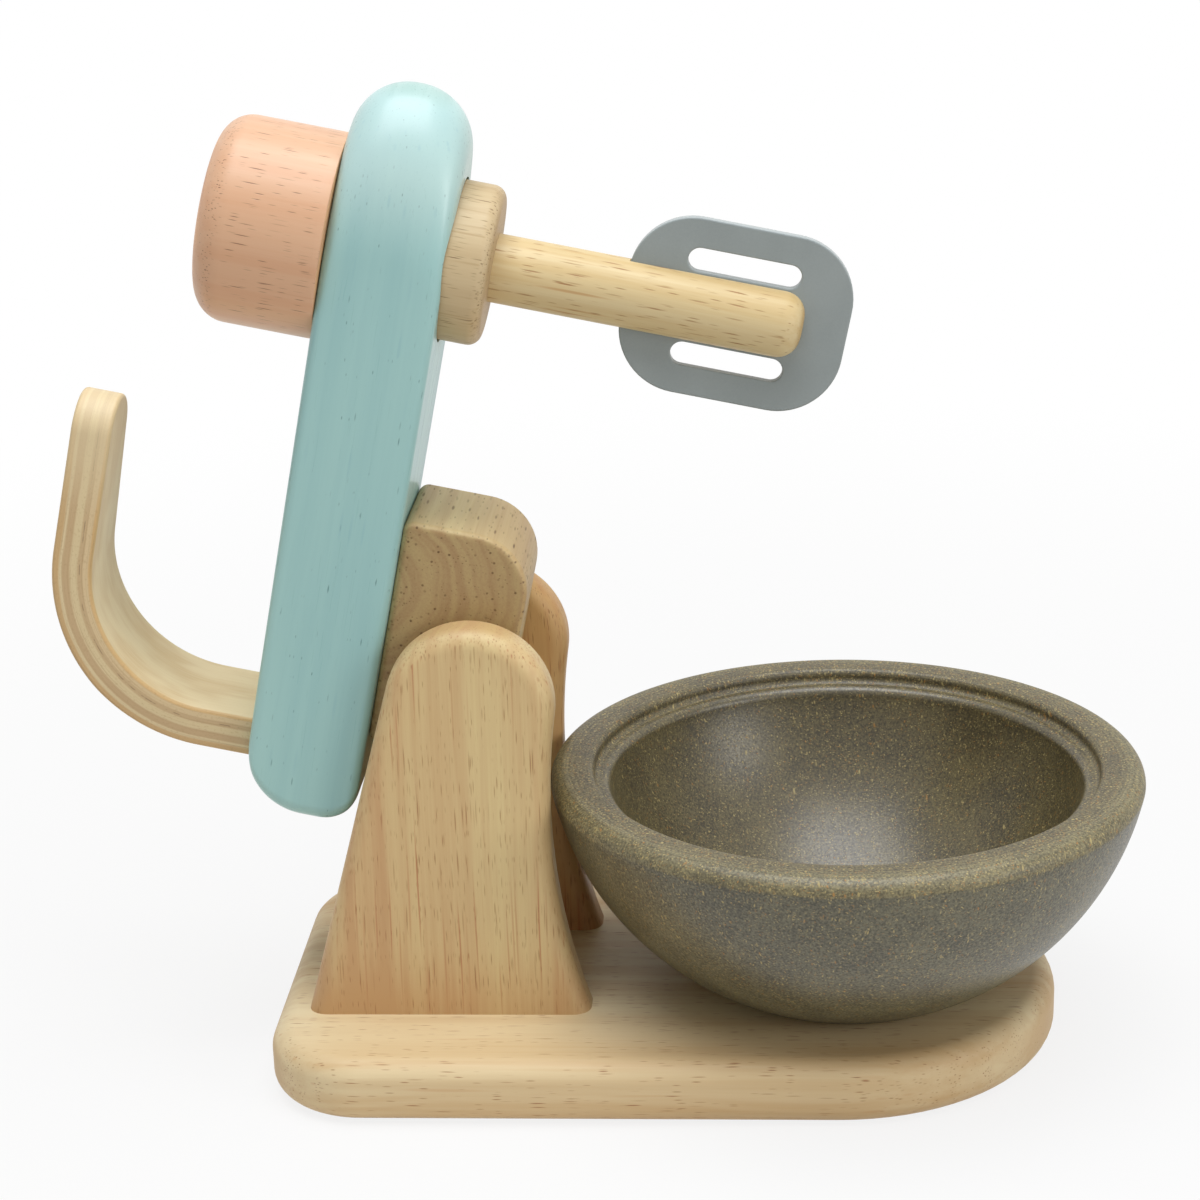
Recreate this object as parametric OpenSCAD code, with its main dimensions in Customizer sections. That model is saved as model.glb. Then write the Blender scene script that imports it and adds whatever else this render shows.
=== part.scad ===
// Toy stand mixer of wood: a rounded base board, two shaped posts, a tilting head with a turning
// beater, a bent plywood lift handle and a loose bowl.
// Millimetres, +Z up, +X towards the bowl, origin at the middle of the base's underside.
// The head is shown raised, as it stands when the bowl is filled.

/* [Base] */
// Length of the base board
base_len = 179; // [170:1:200]
// Width of the base board
base_w = 103; // [92:1:120]
// Thickness of the base board
base_t = 15; // [13:0.5:20]
// Corner radius of the base's rear end in plan
base_rear_r = 22; // [10:1:30]
// Rounding of the base's edges
base_edge_r = 5; // [2:0.5:6]
// Depth of the round seat for the bowl
seat_depth = 3; // [1.5:0.5:4]

/* [Posts] */
// Distance of the pivot axis from the base's rear end
pivot_in = 47.5; // [44:0.5:50]
// Height of the pivot axis above the base's top
pivot_rise = 73.2; // [70:0.2:80]
// Clear width between the two posts
post_gap = 32; // [26:0.5:38]
// Thickness of each post
post_t = 11.5; // [10:0.5:15]
// Radius of the posts' round tops
post_top_r = 18.8; // [17:0.1:21]
// Slant of the posts' rear edges from upright
post_slant = 15.4; // [10:0.2:18]
// Reach of the posts' feet in front of the pivot axis
post_foot = 24.9; // [22:0.1:27]
// Radius of the hollow curve of the posts' front edges
post_front_r = 150; // [120:5:200]
// Rounding of the posts' edges
post_edge_r = 4; // [1:0.5:5]

/* [Pivot] */
// Diameter of the pivot pin
pin_d = 8; // [6:0.5:9]
// Diameter of the stop dowel between the posts
stop_d = 8; // [6:0.5:9]
// Depth of the blind sockets in the posts
socket_depth = 7; // [5:0.5:8]
// Lean of the raised head from upright
head_lean = 12; // [8:0.5:20]

/* [Head] */
// Length of the head board
head_len = 164.5; // [158:0.5:176]
// Width of the head board
head_w = 39; // [38:0.5:44]
// Thickness of the head board
head_t = 26; // [26:0.5:30]
// Rounding of the head's long edges
head_edge_r = 2.2; // [1:0.2:4]
// Rounding of the head's front end, seen from the side
head_front_r = 12.5; // [9:0.5:12.5]
// Length over which the head's nose draws in, in plan
head_nose = 35; // [20:1:42]
// Rounding of the tail's upper edge
head_tail_r = 14; // [8:0.5:15]
// Rounding of the tail's lower edge
head_heel_r = 8; // [4:0.5:9]
// Corner radius of the tail in plan
head_corner_r = 4; // [3:0.5:8]
// Reach of the head's tail behind the pivot axis
head_tail = 36; // [34:0.5:40]
// Clear gap between the posts' round tops and the head's underside
head_gap = 2.6; // [1:0.1:4]

/* [Pivot block] */
// Depth of the block below the head's underside
block_h = 29.3; // [28:0.1:34]
// Reach of the block in front of the pivot axis
block_front = 36.8; // [32:0.2:42]
// Reach of the block behind the pivot axis
block_rear = 16; // [14:0.5:18]
// Radius of the block's round lower front corner
block_corner_r = 13; // [8:0.5:16]
// Rounding of the block's other edges
block_edge_r = 1.6; // [0.8:0.2:2]
// Gap between the block and each post
block_side = 0.4; // [0.2:0.1:0.8]

/* [Drive] */
// Distance of the beater's axis from the pivot axis
drive_reach = 92.4; // [88:0.2:96]
// Diameter of the beater's shaft
shaft_d = 15; // [12:0.5:18]
// Reach of the shaft below the head's underside
shaft_out = 77; // [72:0.5:78]
// Rounding of the shaft's free end
shaft_round = 5; // [2:0.5:5.5]
// Diameter of the knob
knob_d = 45.2; // [40:0.2:52]
// Height of the knob
knob_h = 28.6; // [24:0.2:34]
// Rounding of the knob's rim
knob_round = 7; // [3:0.5:9]
// Rise of the knob's domed face
knob_dome = 1.4; // [0.4:0.1:3]
// Depth of the shaft's socket in the knob
knob_socket = 17; // [12:0.5:19]
// Diameter of the collar
collar_d = 35; // [30:0.5:40]
// Height of the collar that shows below the head
collar_out = 9; // [6:0.2:14]
// Depth of the collar's recess in the head
collar_in = 4; // [2:0.5:6]
// Rounding of the collar's rim
collar_round = 3; // [1:0.5:4]

/* [Beater plate] */
// Length of the plate along the shaft
plate_len = 49; // [44:0.2:56]
// Width of the plate across the shaft
plate_w = 39; // [36:0.5:42]
// Thickness of the plate
plate_t = 2.6; // [1.6:0.2:4]
// Corner radius of the plate
plate_r = 14; // [13:0.5:17]
// Reach of the plate past the end of the shaft
plate_past = 9.8; // [8:0.2:11]
// Length of each slot in the plate
slot_len = 24.8; // [18:0.2:28]
// Width of each slot in the plate
slot_w = 5.1; // [3:0.1:5.4]
// Distance of each slot's middle from the shaft's axis
slot_off = 10.5; // [10.4:0.1:12]

/* [Lift handle] */
// Width of the handle at its foot
handle_w = 29; // [26:0.5:32]
// Width of the handle at its round free end
handle_tip_w = 17.5; // [14:0.5:24]
// Thickness of the handle
handle_t = 9; // [7:0.5:10]
// Distance of the handle's foot behind the pivot axis
handle_back = 20.8; // [18:0.2:22]
// Height of the grip's upper face above the head
handle_rise = 50.2; // [44:0.2:56]
// Inner radius of the handle's bend
handle_bend_r = 29.5; // [20:0.5:36]
// Length of the straight grip past the bend
handle_grip = 35; // [28:0.5:46]
// Flare of the grip away from the head
handle_flare = 0; // [-2:0.5:5]
// Depth of the handle's foot in the head
tenon_depth = 12; // [8:0.5:16]

/* [Bowl] */
// Distance of the bowl's axis in front of the pivot axis
bowl_fwd = 83; // [82:0.5:86]
// Outer diameter of the bowl's rim
bowl_d = 135; // [130:1:150]
// Height of the bowl
bowl_h = 54.3; // [53:0.1:58]
// Diameter of the bowl's flat foot
bowl_foot_d = 50; // [44:1:60]
// Radius of the bowl's outer curve
bowl_body_r = 69; // [66:0.5:76]
// Rounding of the rim's outer edge
rim_round = 3.5; // [2:0.1:4]
// Width of the rim's top from its outer edge to the step
rim_w = 10; // [8:0.2:11]
// Depth of the step inside the rim
step_depth = 3.5; // [2:0.1:5]
// Width of the ledge below the step
ledge_w = 3.8; // [2.5:0.1:5]
// Thickness of the bowl's floor
bowl_floor = 5; // [4:0.1:6]

/* [Fasteners] */
// Diameter of the glued dowels
dowel_d = 8; // [5:0.5:8]
// Depth of each dowel in the base and the head
dowel_low = 10; // [7:0.5:11]
// Depth of each dowel in the posts and the block
dowel_high = 13; // [8:0.5:14]
// Diameter of the wood screws
screw_d = 4; // [3:0.5:5]
// Length of the wood screws
screw_len = 38; // [30:1:44]
// Diameter of the screws' countersunk heads
screw_head_d = 8; // [6.5:0.5:9]
// Spacing of the two screws in each post's foot
screw_pitch = 40; // [32:1:44]
// Spacing of the two dowels between the block and the head
block_dowel_pitch = 16; // [12:0.5:18]

/* [Clearances] */
// Radial gap of glued and driven fits
fit_gap = 0.05; // [0.02:0.01:0.1]
// Radial gap of turning fits
run_gap = 0.06; // [0.03:0.01:0.1]
// Gap between turning faces and beside the stop dowel
free_gap = 0.3; // [0.2:0.05:0.5]
// Radial gap around the collar and the bowl's foot
loose_gap = 0.6; // [0.4:0.1:1]

/* [Hidden] */
$fn = 96;
eps = 0.5;
corner_steps = 10;
edge_steps = 5;
head_steps = 8;

pivot_x = pivot_in - base_len / 2;
pivot_z = base_t + pivot_rise;
head_drop = post_top_r + head_gap;
head_top = head_drop + head_t;
raise_angle = 90 - head_lean;
post_mid = (post_gap + post_t) / 2;

block_face = block_h - head_drop;
block_w = post_gap - 2 * block_side;
block_dowel_x = block_front / 2;
stop_drop = block_face + stop_d / 2 + free_gap;
stop_fwd = stop_drop * (1 - sin(head_lean)) / cos(head_lean);
pin_len = post_gap + 2 * socket_depth - 2 * fit_gap;

knob_base = head_top + free_gap;
shaft_top = knob_base + knob_socket - fit_gap;
shaft_end = head_drop - shaft_out;
plate_end = shaft_end - plate_past;
plate_top = plate_end + plate_len;

seat_z = base_t - seat_depth;
bowl_x = pivot_x + bowl_fwd;

// Meeting point of two circles, on the right of the line from a to b
function circle_meet(a, ra, b, rb) =
    let (d = norm(b - a), k = (d * d + ra * ra - rb * rb) / (2 * d), h = sqrt(ra * ra - k * k), u = (b - a) / d)
    a + k * u + h * [u[1], -u[0]];

// Points of an arc from angle a0 to a1
function arc(c, r, a0, a1, n = corner_steps) =
    [for (i = [0:n]) c + r * [cos(a0 + (a1 - a0) * i / n), sin(a0 + (a1 - a0) * i / n)]];

// The same ring without repeated points
function clean(p) = [for (i = [0:len(p) - 1]) if (norm(p[i] - p[(i + 1) % len(p)]) > 0.001) p[i]];

function angle_of(v) = atan2(v[1], v[0]);

// Rounded rectangle from a to b with one radius per corner, drawn in by d
function rect_ring(a, b, r, d) = clean(concat(
    arc([a[0] + r[0], a[1] + r[0]], r[0] - d, 180, 270),
    arc([b[0] - r[1], a[1] + r[1]], r[1] - d, 270, 360),
    arc([b[0] - r[2], b[1] - r[2]], r[2] - d, 0, 90),
    arc([a[0] + r[3], b[1] - r[3]], r[3] - d, 90, 180)));

// Side view of a post, drawn in by d: foot, hollow front, round top, slanted rear
pivot_p = [pivot_x, pivot_z];
post_toe = [pivot_x + post_foot, base_t];
front_c = circle_meet(post_toe, post_front_r, pivot_p, post_front_r + post_top_r);
tangent_a = angle_of(front_c - pivot_p);
function post_toe_a(d) = 180 + asin((front_c[1] - base_t) / (post_front_r + d));
function post_heel(d) =
    let (s = [-cos(post_slant), sin(post_slant)], p = pivot_p + (post_top_r - d) * s)
    [p[0] - (p[1] - base_t) * tan(post_slant), base_t];
function post_ring(d) = clean(concat(
    [post_heel(d)],
    arc(front_c, post_front_r + d, post_toe_a(d), 180 + tangent_a, 12),
    arc(pivot_p, post_top_r - d, tangent_a, 180 - post_slant, 24)));

foot_mid = (post_heel(0)[0] + post_toe[0]) / 2;

// Heights and draw-ins of the layers of a slab with rounded edges
function slab_layers(t, e) = concat(
    [for (i = [0:edge_steps]) let (a = 90 * i / edge_steps) [e * (1 - cos(a)), e * (1 - sin(a))]],
    [for (i = [edge_steps:-1:0]) let (a = 90 * i / edge_steps) [t - e * (1 - cos(a)), e * (1 - sin(a))]]);

function lift(ring, z) = [for (p = ring) [p[0], p[1], z]];

// Closed solid through rings with the same number of points
module loft(rings) {
    n = len(rings[0]);
    m = len(rings);
    sides = [for (j = [0:m - 2], i = [0:n - 1]) let (k = (i + 1) % n)
        each [[j * n + i, (j + 1) * n + i, (j + 1) * n + k], [j * n + i, (j + 1) * n + k, j * n + k]]];
    foot = [[for (i = [0:n - 1]) i]];
    roof = [[for (i = [n - 1:-1:0]) (m - 1) * n + i]];
    polyhedron([for (r = rings) each r], concat(sides, foot, roof));
}

// How far a rounding of radius r draws a face in at distance h from its end
function draw_in(h, r) = h >= r ? 0 : r - sqrt(r * r - (r - h) * (r - h));

// Plan of the head at height h above its underside: half an ellipse in front, square with small corners behind
function head_ring(h) =
    let (u = head_t - h, e = min(h, u), w = head_w / 2 - draw_in(e, head_edge_r), c = head_corner_r,
        rear = max(draw_in(h, head_heel_r), draw_in(u, head_tail_r)) - head_tail,
        mid = head_len - head_tail - draw_in(e, head_front_r) - head_nose)
    concat(arc([rear + c, c - w], c, 180, 270),
        [for (p = arc([0, 0], 1, -90, 90, 2 * corner_steps)) [mid + head_nose * p[0], w * p[1]]],
        arc([rear + c, w - c], c, 90, 180));

module head_blank() {
    low = [for (i = [0:head_steps]) head_front_r * (1 - cos(90 * i / head_steps))];
    high = [for (i = [head_steps:-1:0]) head_t - low[i]];
    loft([for (h = concat(low, high)) lift(head_ring(h), h)]);
}

module rounded_slab(a, b, r, t, e) {
    loft([for (s = slab_layers(t, e)) lift(rect_ring(a, b, r, s[1]), s[0])]);
}

// Turned solid from a half profile of [radius, height] points
module turned(points) {
    rotate_extrude() polygon(points);
}

// Places the head's pieces: drawn lowered about the pivot axis, then raised
module on_head() {
    translate([pivot_x, 0, pivot_z]) rotate([0, -raise_angle, 0]) children();
}

module on_drive() {
    on_head() translate([drive_reach, 0, 0]) children();
}

module cross_bore(x, z, d, len) {
    translate([x, len / 2, z]) rotate([90, 0, 0]) cylinder(d = d, h = len);
}

module post_places() {
    for (s = [-1, 1]) translate([0, s * post_mid, 0]) children();
}

module screw_places() {
    post_places() for (k = [-1, 1]) translate([foot_mid + k * screw_pitch / 2, 0, 0]) children();
}

module base_board() {
    color([0.86, 0.72, 0.54]) difference() {
        rounded_slab([-base_len / 2, -base_w / 2], [base_len / 2, base_w / 2],
            [base_rear_r, base_w / 2, base_w / 2, base_rear_r], base_t, base_edge_r);
        translate([bowl_x, 0, seat_z]) cylinder(r = bowl_r_at(seat_depth) + loose_gap, h = seat_depth + eps);
        post_places() translate([foot_mid, 0, base_t - dowel_low - fit_gap])
            cylinder(d = dowel_d + 2 * fit_gap, h = dowel_low + eps);
        screw_places() translate([0, 0, -eps]) cylinder(d = screw_d + 2 * fit_gap, h = base_t + 2 * eps);
        screw_places() countersink();
    }
}

// Cone that takes a screw's head, flush with the underside
module countersink() {
    turned([[0, -eps], [screw_head_d / 2 + fit_gap, -eps], [screw_head_d / 2 + fit_gap, 0.4],
        [screw_d / 2 + fit_gap, 0.4 + (screw_head_d - screw_d) / 2], [0, 0.4 + (screw_head_d - screw_d) / 2]]);
}

module post_blank() {
    rotate([90, 0, 0]) loft([for (s = slab_layers(post_t, post_edge_r)) lift(post_ring(s[1]), s[0])]);
}

module post_holes() {
    translate([foot_mid, 0, base_t - eps]) cylinder(d = dowel_d + 2 * fit_gap, h = dowel_high + fit_gap + eps);
    for (k = [-1, 1]) translate([foot_mid + k * screw_pitch / 2, 0, base_t - eps])
        cylinder(d = screw_d + 2 * fit_gap, h = screw_len - base_t + eps + 1);
}

module socket_holes() {
    cross_bore(pivot_x, pivot_z, pin_d + 2 * fit_gap, post_gap + 2 * socket_depth);
    cross_bore(pivot_x + stop_fwd, pivot_z - stop_drop, stop_d + 2 * fit_gap, post_gap + 2 * socket_depth);
}

module right_post() {
    color([0.80, 0.64, 0.45]) difference() {
        translate([0, -post_gap / 2, 0]) post_blank();
        translate([0, -post_mid, 0]) post_holes();
        socket_holes();
    }
}

module left_post() {
    color([0.78, 0.61, 0.42]) difference() {
        translate([0, post_gap / 2 + post_t, 0]) post_blank();
        translate([0, post_mid, 0]) post_holes();
        socket_holes();
    }
}

module post_dowels() {
    color([0.88, 0.76, 0.58]) post_places() translate([foot_mid, 0, base_t - dowel_low])
        cylinder(d = dowel_d, h = dowel_low + dowel_high);
}

module wood_screw() {
    difference() {
        turned([[0, 0.2], [screw_head_d / 2, 0.2], [screw_head_d / 2, 0.4], [screw_d / 2, 0.4 + (screw_head_d - screw_d) / 2],
            [screw_d / 2, screw_len - screw_d], [0.3, screw_len], [0, screw_len]]);
        for (a = [0, 90]) rotate([0, 0, a]) translate([-screw_d / 2, -0.5, 0]) cube([screw_d, 1, 1.4]);
    }
}

module post_screws() {
    color([0.72, 0.72, 0.70]) screw_places() wood_screw();
}

module pivot_pin() {
    color([0.90, 0.80, 0.62]) cross_bore(pivot_x, pivot_z, pin_d, pin_len);
}

module stop_dowel() {
    color([0.90, 0.80, 0.62]) cross_bore(pivot_x + stop_fwd, pivot_z - stop_drop, stop_d, pin_len);
}

module head_board() {
    color([0.66, 0.82, 0.80]) on_head() difference() {
        translate([0, 0, head_drop]) head_blank();
        translate([drive_reach, 0, head_drop - eps]) cylinder(d = shaft_d + 2 * run_gap, h = head_t + 2 * eps);
        translate([drive_reach, 0, head_drop - eps]) cylinder(d = collar_d + 2 * loose_gap, h = collar_in + eps);
        translate([-handle_back - handle_t / 2 - fit_gap, -handle_w / 2 - fit_gap, head_top - tenon_depth - fit_gap])
            cube([handle_t + 2 * fit_gap, handle_w + 2 * fit_gap, tenon_depth + eps]);
        block_dowel_places() translate([0, 0, -eps]) cylinder(d = dowel_d + 2 * fit_gap, h = dowel_low + fit_gap + eps);
    }
}

module block_dowel_places() {
    for (s = [-1, 1]) translate([block_dowel_x, s * block_dowel_pitch / 2, head_drop]) children();
}

module pivot_block() {
    soft = block_edge_r + 0.8;
    color([0.82, 0.66, 0.46]) on_head() difference() {
        translate([0, block_w / 2, 0]) rotate([90, 0, 0]) rounded_slab([-block_rear, -block_face], [block_front, head_drop],
            [soft, block_corner_r, soft, soft], block_w, block_edge_r);
        cross_bore(0, 0, pin_d + 2 * run_gap, block_w + 2 * eps);
        block_dowel_places() translate([0, 0, -dowel_high - fit_gap])
            cylinder(d = dowel_d + 2 * fit_gap, h = dowel_high + fit_gap + eps);
    }
}

module block_dowels() {
    color([0.88, 0.76, 0.58]) on_head() block_dowel_places() translate([0, 0, -dowel_high])
        cylinder(d = dowel_d, h = dowel_high + dowel_low);
}

module knob() {
    r = knob_d / 2;
    flat = r - knob_round;
    dome_r = (flat * flat + knob_dome * knob_dome) / (2 * knob_dome);
    face = knob_h - knob_dome;
    color([0.90, 0.68, 0.55]) on_drive() translate([0, 0, knob_base]) difference() {
        turned(clean(concat([[0, 0], [r - 0.5, 0], [r, 0.5]],
            arc([flat, face - knob_round], knob_round, 0, 90 - asin(flat / dome_r)),
            [for (i = [9:-1:0]) let (x = flat * i / 10) [x, knob_h - dome_r + sqrt(dome_r * dome_r - x * x)]])));
        translate([0, 0, -eps]) cylinder(d = shaft_d + 2 * fit_gap, h = knob_socket + eps);
    }
}

module beater_shaft() {
    r = shaft_d / 2;
    color([0.90, 0.78, 0.56]) on_drive() difference() {
        turned(concat([[0, shaft_end]], arc([r - shaft_round, shaft_end + shaft_round], shaft_round, -90, 0),
            [[r, shaft_top], [0, shaft_top]]));
        translate([-shaft_d, -plate_t / 2 - fit_gap, shaft_end - eps])
            cube([2 * shaft_d, plate_t + 2 * fit_gap, plate_top - shaft_end + fit_gap + eps]);
    }
}

module shaft_collar() {
    r = collar_d / 2;
    low = head_drop - collar_out;
    color([0.88, 0.76, 0.55]) on_drive() difference() {
        turned(concat([[0, low]], arc([r - collar_round, low + collar_round], collar_round, -90, 0),
            [[r, head_drop + collar_in - free_gap], [0, head_drop + collar_in - free_gap]]));
        translate([0, 0, low - eps]) cylinder(d = shaft_d + 2 * fit_gap, h = collar_out + collar_in + 2 * eps);
    }
}

module slot_outline(len, w) {
    for (s = [-1, 1]) translate([0, s * (len - w) / 2]) circle(d = w);
    square([w, len - w], center = true);
}

module beater_plate() {
    mid = plate_end + plate_len / 2;
    color([0.60, 0.64, 0.68]) on_drive() translate([0, plate_t / 2, mid]) rotate([90, 0, 0])
        linear_extrude(plate_t) difference() {
            polygon(rect_ring([-plate_w / 2, -plate_len / 2], [plate_w / 2, plate_len / 2],
                [plate_r, plate_r, plate_r, plate_r], 0));
            for (s = [-1, 1]) translate([s * slot_off, 0]) slot_outline(slot_len, slot_w);
        }
}

// Side view of the bent handle: foot in the head, bend, flaring grip
handle_outer_r = handle_bend_r + handle_t;
bend_c = [handle_bend_r + handle_t / 2 - handle_back, head_top + handle_rise - handle_outer_r];
handle_reach = bend_c[0] + handle_grip * cos(handle_flare) - handle_bend_r * sin(handle_flare);

module handle_outline() {
    tip = handle_grip * [cos(handle_flare), sin(handle_flare)];
    foot_z = head_top - tenon_depth;
    bend_out = arc(bend_c, handle_outer_r, 180, 90 + handle_flare, 18);
    bend_in = arc(bend_c, handle_bend_r, 90 + handle_flare, 180, 18);
    polygon(concat([[bend_c[0] - handle_outer_r, foot_z]], bend_out, [bend_out[18] + tip, bend_in[0] + tip], bend_in,
        [[bend_c[0] - handle_bend_r, foot_z]]));
}

// Plan of the handle: full width at the foot, tapering to the round free end
module handle_plan() {
    hull() {
        translate([bend_c[0] - handle_outer_r, -handle_w / 2]) square([handle_t, handle_w]);
        translate([handle_reach - handle_tip_w / 2, 0]) circle(d = handle_tip_w);
    }
}

module lift_handle() {
    color([0.88, 0.78, 0.58]) on_head() intersection() {
        translate([0, handle_w / 2, 0]) rotate([90, 0, 0]) linear_extrude(handle_w) handle_outline();
        translate([0, 0, head_top - tenon_depth - eps])
            linear_extrude(tenon_depth + handle_rise + handle_grip * sin(handle_flare) + 2 * eps) handle_plan();
    }
}

// Outer curve of the bowl, through its foot and the lower edge of its rim
rim_low = [bowl_d / 2, bowl_h - rim_round];
foot_p = [bowl_foot_d / 2, 0];
body_c = circle_meet(rim_low, bowl_body_r, foot_p, bowl_body_r);
function bowl_r_at(z) = body_c[0] + sqrt(bowl_body_r * bowl_body_r - (z - body_c[1]) * (z - body_c[1]));

module bowl() {
    step_r = bowl_d / 2 - rim_w;
    ledge_r = step_r - ledge_w;
    ledge_z = bowl_h - step_depth;
    lip = 1;
    depth = ledge_z - lip - bowl_floor;
    inner_r = (ledge_r * ledge_r + depth * depth) / (2 * depth);
    inner_c = [0, bowl_floor + inner_r];
    inner_a = angle_of([ledge_r, ledge_z - lip] - inner_c);
    color([0.42, 0.40, 0.34]) translate([bowl_x, 0, seat_z]) turned(clean(concat(
        [[0, 0]],
        arc(body_c, bowl_body_r, angle_of(foot_p - body_c), angle_of(rim_low - body_c), 16),
        arc([bowl_d / 2 - rim_round, bowl_h - rim_round], rim_round, 0, 90, 6),
        [[step_r + 0.6, bowl_h], [step_r, bowl_h - 0.6], [step_r, ledge_z]],
        arc([ledge_r + lip, ledge_z - lip], lip, 90, 180, 4),
        arc(inner_c, inner_r, inner_a, -90, 20))));
}

base_board();
right_post();
left_post();
post_dowels();
post_screws();
pivot_pin();
stop_dowel();
head_board();
pivot_block();
block_dowels();
lift_handle();
knob();
beater_shaft();
shaft_collar();
beater_plate();
bowl();
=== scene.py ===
# %% [markdown]
# # A wooden toy stand mixer
# The toy has a pale base board, two shaped posts, a mint head that tips up with its turning beater, a bent
# plywood handle and a loose bowl of pressed wood fibre. This notebook loads the solids as a fixed frame,
# builds a fine mesh for each piece that shows, gives it its finish, and sets up light and camera.

# %% Frame
import math

import bmesh
import bpy
from mathutils import Matrix, Vector


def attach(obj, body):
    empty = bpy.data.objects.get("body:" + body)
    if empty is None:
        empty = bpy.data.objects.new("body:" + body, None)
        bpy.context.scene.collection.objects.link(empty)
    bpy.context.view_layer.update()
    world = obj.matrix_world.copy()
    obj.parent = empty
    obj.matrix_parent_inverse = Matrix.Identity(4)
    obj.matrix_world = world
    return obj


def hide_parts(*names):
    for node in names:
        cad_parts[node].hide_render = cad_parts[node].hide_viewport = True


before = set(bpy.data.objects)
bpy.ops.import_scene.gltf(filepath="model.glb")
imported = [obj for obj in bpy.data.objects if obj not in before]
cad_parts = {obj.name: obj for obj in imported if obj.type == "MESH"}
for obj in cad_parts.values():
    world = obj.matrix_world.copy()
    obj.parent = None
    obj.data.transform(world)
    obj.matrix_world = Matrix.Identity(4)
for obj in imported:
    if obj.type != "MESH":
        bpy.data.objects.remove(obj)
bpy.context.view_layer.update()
MM = 0.001

# %% [markdown]
# ## Wires for shader maths
# A finish is a net of nodes. Drawing each link by hand hides the idea, so a small class wraps one socket and
# lets ordinary sums and products add the Math nodes. Every other kind of node comes from its one method, and
# the short methods after it name the nodes that the finishes use again and again.

# %% Wire
class Wire:
    """A socket in a node tree; + - * on wires add Math nodes."""

    def __init__(self, tree, socket=None):
        self.tree, self.socket = tree, socket

    def node(self, kind, settings=None, sockets=None, out=0):
        made = self.tree.nodes.new("ShaderNode" + kind)
        for key, value in (settings or {}).items():
            if key == "stops":
                while len(made.color_ramp.elements) < len(value):
                    made.color_ramp.elements.new(1.0)
                for stop, (place, colour) in zip(made.color_ramp.elements, value):
                    stop.position, stop.color = place, colour
            else:
                setattr(made, key, value)
        for key, value in (sockets or {}).items():
            if isinstance(value, Wire):
                self.tree.links.new(value.socket, made.inputs[key])
            else:
                made.inputs[key].default_value = value
        return Wire(self.tree, made.outputs[out] if len(made.outputs) else None)

    def other(self, out):
        return Wire(self.tree, self.socket.node.outputs[out])

    def math(self, operation, first, second=0.0):
        return self.node("Math", {"operation": operation}, {0: first, 1: second})

    def __add__(self, other):
        return self.math("ADD", self, other)

    def __radd__(self, other):
        return self.math("ADD", other, self)

    def __sub__(self, other):
        return self.math("SUBTRACT", self, other)

    def __rsub__(self, other):
        return self.math("SUBTRACT", other, self)

    def __mul__(self, other):
        return self.math("MULTIPLY", self, other)

    def __rmul__(self, other):
        return self.math("MULTIPLY", other, self)

    def carried(self, name, out="Fac"):
        return self.node("Attribute", {"attribute_name": name}, out=out)

    def stretched(self, *scale):
        return self.node("VectorMath", {"operation": "MULTIPLY"}, {0: self, 1: scale})

    def noise(self, detail=2.0):
        return self.node("TexNoise", {}, {"Vector": self, "Scale": 1.0, "Detail": detail})

    def bands(self):
        return self.node("TexNoise", {"noise_dimensions": "1D"}, {"W": self, "Scale": 1.0, "Detail": 2.0})

    def cells(self):
        return self.node("TexVoronoi", {}, {"Vector": self, "Scale": 1.0})

    def split(self):
        return self.node("SeparateXYZ", {}, {0: self})

    def distance(self, other):
        return self.math("SQRT", self * self + other * other)

    def ramped(self, low, high):
        return self.node("MapRange", {"interpolation_type": "SMOOTHSTEP"},
                         {"Value": self, "From Min": low, "From Max": high})

    def between(self, first, second):
        return self.node("Mix", {"data_type": "RGBA"}, {0: self, 6: first, 7: second}, 2)


print("operators", [name for name in vars(Wire) if name.startswith("__r") or name in ("__add__", "__sub__", "__mul__")])

# %% [markdown]
# ## From a recipe to a material
# Each finish below is a recipe: a function that returns a colour, a roughness and a height. One function turns
# a recipe into a material, so that all the pieces share the same shader and bump. Colours are written as they
# look on screen, 0 to 255, and turned into the linear values that the shader wants.

# %% Materials
def tint(*rgb):
    return tuple(((v / 255 + 0.055) / 1.055) ** 2.4 for v in rgb) + (1.0,)


def blank(owner):
    owner.use_nodes = True
    owner.node_tree.nodes.clear()
    return Wire(owner.node_tree)


def finish(name, recipe, bump_mm, **constants):
    material = bpy.data.materials.new(name)
    start = blank(material)
    colour, rough, height = recipe(start)
    normal = start.node("Bump", {}, {"Distance": bump_mm * MM, "Height": height})
    shader = start.node("BsdfPrincipled", {},
                        {"Base Color": colour, "Roughness": rough, "Normal": normal, **constants})
    start.node("OutputMaterial", {}, {"Surface": shader})
    return material


print("tint of pale wood", [round(v, 3) for v in tint(214, 182, 138)])

# %% [markdown]
# ## Pores
# Rubberwood has short dark pores, which become dots on a cut end. A flat picture can't turn that corner, so the
# grain is solid: each mesh carries an attribute that says, in millimetres, how far along the grain and across it
# a point lies. Cells that are stretched along the grain are dashes on the sides and dots on the ends, and each
# cell's own random colour decides whether it shows and how dark it is.

# %% Pores
SOFT, FACING = (0.38, 0.66), (0.72, 0.96)


def marked_grain(start):
    return start.carried("grain", "Vector"), start.carried("cut_end").ramped(*FACING)


def pores(grain, length, width, share, cut_end):
    cell = grain.stretched(1 / length, 1 / width, 1 / width).cells()
    chance = cell.node("SeparateColor", {}, {0: cell.other("Color")})
    spot = 1 - cell.ramped(0.10, 0.36)
    chosen = chance.ramped(1 - share, 1.03 - share)
    strength = 0.3 + 0.7 * chance.other(1)
    kept_at_end = 1 - cut_end * (1 - chance.other(2).ramped(0.62, 0.66))
    return spot * chosen * strength * kept_at_end


print("soft marks fade over", SOFT, "and a cut end shows over", FACING)

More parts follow.
